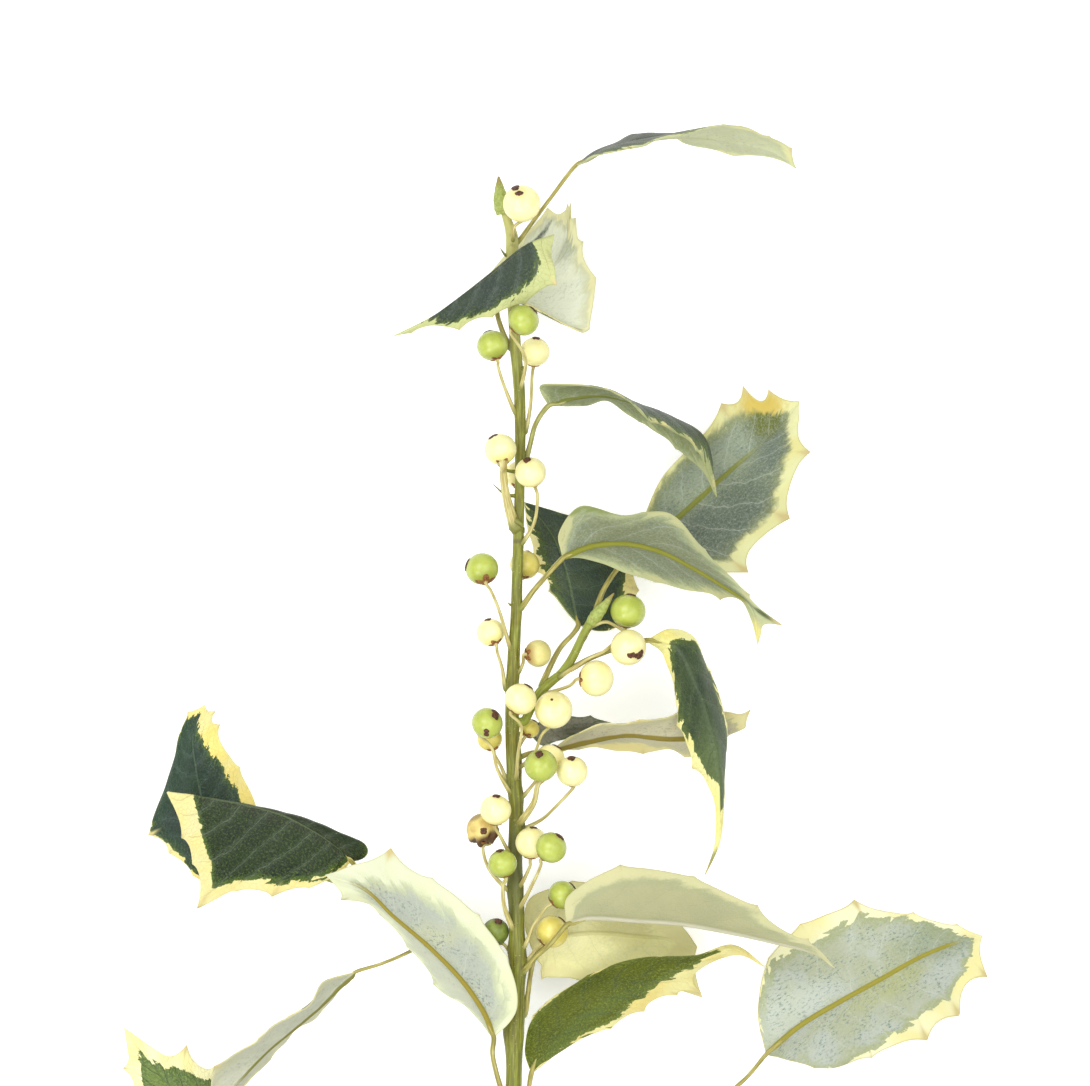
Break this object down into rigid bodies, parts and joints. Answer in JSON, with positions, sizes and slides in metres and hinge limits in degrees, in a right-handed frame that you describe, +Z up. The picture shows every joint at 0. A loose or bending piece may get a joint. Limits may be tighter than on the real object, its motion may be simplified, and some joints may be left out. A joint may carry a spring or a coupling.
{
  "type": "holly sprig",
  "caption": "Cut sprig of variegated holly lying flat: woody stem with side twigs, spiny cream-edged leaves and loose clusters of ripening berries.",
  "frame": {"origin": "middle of the sprig's box on the surface it lies on, close to the stem beside the middle berry cluster", "axes": "+Y from the cut end to the tip of the sprig, +X to the right seen from above, +Z up from the surface"},
  "size_m": [0.2155, 0.3179, 0.0399],
  "materials": {
    "stem_bark": "smooth olive-green young bark with fine grey streaks, satin",
    "twig_bark": "smooth yellow-green young bark, satin",
    "bud": "small scaly bud, yellow-green with brown tip, matte",
    "leaf_upper": "leathery dark green upper face with a wide cream-yellow margin, glossy",
    "leaf_underside": "pale grey-green leathery underside with a cream margin and a raised ochre midrib, satin",
    "berry_cream": "pale cream-yellow waxy skin, satin gloss, brown dot at the far end",
    "berry_yellow": "yellow waxy skin, satin gloss",
    "berry_green": "yellow-green unripe waxy skin, satin gloss, brown dot at the far end",
    "berry_wilted": "tan shrivelled skin, dull"
  },
  "bodies": {
    "root": {"main_stem": "stem_bark", "right_twig": "twig_bark", "left_twig": "twig_bark", "right_lower_twig": "twig_bark", "left_lower_twig": "twig_bark", "tip_bud": "bud", "axillary_bud": "bud", "leaf_top": "leaf_underside", "leaf_upper_left_front": "leaf_upper", "leaf_upper_left_back": "leaf_underside", "leaf_upper_right": "leaf_underside", "leaf_right_back": "leaf_underside", "leaf_right_front": "leaf_underside", "leaf_mid_back": "leaf_upper", "leaf_hanging": "leaf_upper", "leaf_mid_right": "leaf_underside", "leaf_behind_berries": "leaf_upper", "leaf_lower_right_front": "leaf_underside", "leaf_lower_right_back": "leaf_underside", "leaf_lower_right_dark": "leaf_upper", "leaf_far_right": "leaf_underside", "leaf_lower_left_front": "leaf_underside", "leaf_far_left_front": "leaf_upper", "leaf_far_left_upright": "leaf_upper", "leaf_low_left_narrow": "leaf_underside", "leaf_low_left_edge": "leaf_upper", "berry_01": "berry_cream", "berry_02": "berry_green", "berry_03": "berry_green", "berry_04": "berry_cream", "berry_05": "berry_cream", "berry_06": "berry_cream", "berry_07": "berry_green", "berry_08": "berry_yellow", "berry_09": "berry_cream", "berry_10": "berry_cream", "berry_11": "berry_green", "berry_12": "berry_cream", "berry_13": "berry_cream", "berry_14": "berry_cream", "berry_15": "berry_cream", "berry_16": "berry_green", "berry_17": "berry_yellow", "berry_18": "berry_yellow", "berry_19": "berry_green", "berry_20": "berry_cream", "berry_21": "berry_cream", "berry_22": "berry_cream", "berry_23": "berry_wilted", "berry_24": "berry_cream", "berry_25": "berry_green", "berry_26": "berry_green", "berry_27": "berry_green", "berry_28": "berry_yellow", "berry_29": "berry_green", "berry_30": "berry_cream"}
  },
  "joints": []
}
